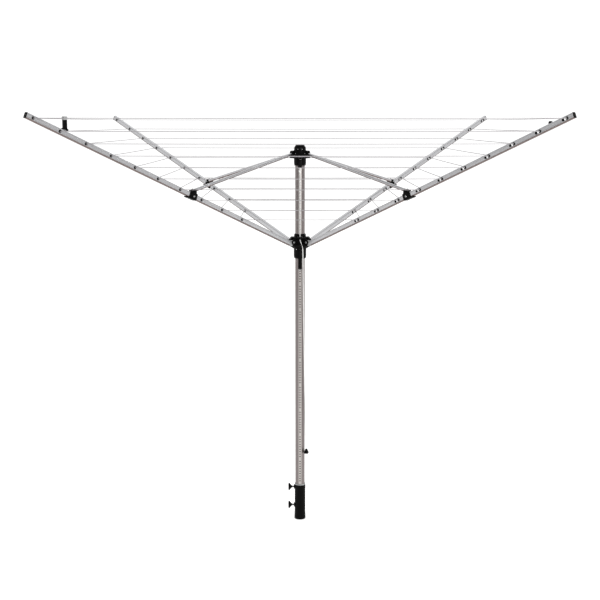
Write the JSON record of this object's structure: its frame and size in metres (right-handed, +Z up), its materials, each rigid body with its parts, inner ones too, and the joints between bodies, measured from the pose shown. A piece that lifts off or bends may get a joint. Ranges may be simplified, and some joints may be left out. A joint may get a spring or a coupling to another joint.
{
  "type": "rotary clothesline",
  "caption": "Rotary clothesline: perforated mast in a ground sleeve, four braced arms that fold up on a sliding hub, square rounds of line between them, wing screws and a pull cord.",
  "frame": {"origin": "on the mast's axis, in the plane of the ground sleeve's foot", "axes": "+Z up along the mast; the arms point between the X and Y axes; the latches and the pull cord face -Y; the wing screws point to -X"},
  "size_m": [2.036, 2.036, 1.9213],
  "materials": {
    "black_plastic": "satin moulded polypropylene",
    "grey_nylon": "satin moulded nylon",
    "mast_aluminium": "satin extruded",
    "arm_aluminium": "satin extruded",
    "galvanised_steel": "zinc plated",
    "line_pvc": "satin PVC sleeve over a core",
    "braided_cord": "braided"
  },
  "bodies": {
    "socket": {"ground_sleeve": "black_plastic", "sleeve_bushing": "grey_nylon"},
    "screw_lower": {"wing_screw_lower": "black_plastic"},
    "screw_upper": {"wing_screw_upper": "black_plastic"},
    "mast": {"mast_tube": "mast_aluminium", "mast_foot_plug": "black_plastic", "mast_top_cap": "black_plastic"},
    "crown": {"crown_collar": "black_plastic", "crown_plate": "galvanised_steel", "crown_base": "black_plastic", "pull_cord_upper": "braided_cord", "pull_cord_lower": "braided_cord", "pull_toggle": "black_plastic"},
    "crown_latch": {"crown_pawl": "black_plastic"},
    "hub": {"hub_body": "black_plastic", "arm_rivet_1": "galvanised_steel", "arm_rivet_2": "galvanised_steel", "arm_rivet_3": "galvanised_steel", "arm_rivet_4": "galvanised_steel", "line_round_01": "line_pvc", "line_round_02": "line_pvc", "line_round_03": "line_pvc", "line_round_04": "line_pvc", "line_round_05": "line_pvc", "line_round_06": "line_pvc", "line_round_07": "line_pvc", "line_round_08": "line_pvc", "line_round_09": "line_pvc", "line_round_10": "line_pvc"},
    "hub_latch": {"hub_release_lever": "black_plastic"},
    "arm_1": {"arm_tube_1": "arm_aluminium", "arm_hinge_1": "grey_nylon", "arm_cap_1": "black_plastic", "arm_bracket_1": "black_plastic", "tie_post": "black_plastic"},
    "brace_1": {"brace_tube_1": "arm_aluminium", "brace_inner_end_1": "galvanised_steel", "brace_outer_end_1": "black_plastic"},
    "arm_2": {"arm_tube_2": "arm_aluminium", "arm_hinge_2": "grey_nylon", "arm_cap_2": "black_plastic", "arm_bracket_2": "black_plastic"},
    "brace_2": {"brace_tube_2": "arm_aluminium", "brace_inner_end_2": "galvanised_steel", "brace_outer_end_2": "black_plastic"},
    "arm_3": {"arm_tube_3": "arm_aluminium", "arm_hinge_3": "grey_nylon", "arm_cap_3": "black_plastic", "arm_bracket_3": "black_plastic"},
    "brace_3": {"brace_tube_3": "arm_aluminium", "brace_inner_end_3": "galvanised_steel", "brace_outer_end_3": "black_plastic"},
    "arm_4": {"arm_tube_4": "arm_aluminium", "arm_hinge_4": "grey_nylon", "arm_cap_4": "black_plastic", "arm_bracket_4": "black_plastic"},
    "brace_4": {"brace_tube_4": "arm_aluminium", "brace_inner_end_4": "galvanised_steel", "brace_outer_end_4": "black_plastic"}
  },
  "joints": [
    {"name": "mast_spin", "type": "hinge", "parent": "socket", "child": "mast", "pos_m": [0, 0, 0.11], "axis": [0, 0, 1], "continuous": true},
    {"name": "head_height", "type": "slide", "parent": "mast", "child": "crown", "axis": [0, 0, -1], "range_m": [0, 0.14]},
    {"name": "crown_latch", "type": "hinge", "parent": "crown", "child": "crown_latch", "pos_m": [0, -0.0275, 1.712], "axis": [-1, 0, 0], "range_deg": [0, 12], "stiffness_Nm_per_rad": 0.3},
    {"name": "canopy_fold", "type": "slide", "parent": "crown", "child": "hub", "axis": [0, 0, -1], "range_m": [0, 0.852], "deforming": ["line_round_01", "line_round_02", "line_round_03", "line_round_04", "line_round_05", "line_round_06", "line_round_07", "line_round_08", "line_round_09", "line_round_10", "pull_cord_upper", "pull_cord_lower"]},
    {"name": "hub_latch", "type": "hinge", "parent": "hub", "child": "hub_latch", "pos_m": [0, -0.028, 1.297], "axis": [-1, 0, 0], "range_deg": [0, 12], "stiffness_Nm_per_rad": 0.3},
    {"name": "arm_lift_1", "type": "hinge", "parent": "hub", "child": "arm_1", "pos_m": [-0.03606, -0.03606, 1.339], "axis": [-0.7071, 0.7071, 0], "range_deg": [0, 63.6]},
    {"name": "arm_lift_2", "type": "hinge", "parent": "hub", "child": "arm_2", "pos_m": [0.03606, -0.03606, 1.339], "axis": [-0.7071, -0.7071, 0], "range_deg": [0, 63.6]},
    {"name": "arm_lift_3", "type": "hinge", "parent": "hub", "child": "arm_3", "pos_m": [0.03606, 0.03606, 1.339], "axis": [0.7071, -0.7071, 0], "range_deg": [0, 63.6]},
    {"name": "arm_lift_4", "type": "hinge", "parent": "hub", "child": "arm_4", "pos_m": [-0.03606, 0.03606, 1.339], "axis": [0.7071, 0.7071, 0], "range_deg": [0, 63.6]},
    {"name": "brace_fold_1", "type": "hinge", "parent": "crown", "child": "brace_1", "pos_m": [-0.03465, -0.01202, 1.7415], "axis": [0.7071, -0.7071, 0], "range_deg": [0, 71.9]},
    {"name": "brace_fold_2", "type": "hinge", "parent": "crown", "child": "brace_2", "pos_m": [0.03465, -0.01202, 1.7415], "axis": [0.7071, 0.7071, 0], "range_deg": [0, 71.9]},
    {"name": "brace_fold_3", "type": "hinge", "parent": "crown", "child": "brace_3", "pos_m": [0.03465, 0.01202, 1.7415], "axis": [-0.7071, 0.7071, 0], "range_deg": [0, 71.9]},
    {"name": "brace_fold_4", "type": "hinge", "parent": "crown", "child": "brace_4", "pos_m": [-0.03465, 0.01202, 1.7415], "axis": [-0.7071, -0.7071, 0], "range_deg": [0, 71.9]},
    {"name": "screw_upper_turn", "type": "hinge", "parent": "socket", "child": "screw_upper", "pos_m": [-0.03, 0, 0.157], "axis": [-1, 0, 0], "range_deg": [0, 720]},
    {"name": "screw_lower_turn", "type": "hinge", "parent": "socket", "child": "screw_lower", "pos_m": [-0.03, 0, 0.067], "axis": [-1, 0, 0], "range_deg": [0, 720]}
  ],
  "couplings": [
    {"joint": "arm_lift_1", "follows": "canopy_fold", "rad_per_m": 1.3016},
    {"joint": "arm_lift_2", "follows": "canopy_fold", "rad_per_m": 1.3016},
    {"joint": "arm_lift_3", "follows": "canopy_fold", "rad_per_m": 1.3016},
    {"joint": "arm_lift_4", "follows": "canopy_fold", "rad_per_m": 1.3016},
    {"joint": "brace_fold_1", "follows": "canopy_fold", "rad_per_m": 1.4722},
    {"joint": "brace_fold_2", "follows": "canopy_fold", "rad_per_m": 1.4722},
    {"joint": "brace_fold_3", "follows": "canopy_fold", "rad_per_m": 1.4722},
    {"joint": "brace_fold_4", "follows": "canopy_fold", "rad_per_m": 1.4722}
  ]
}
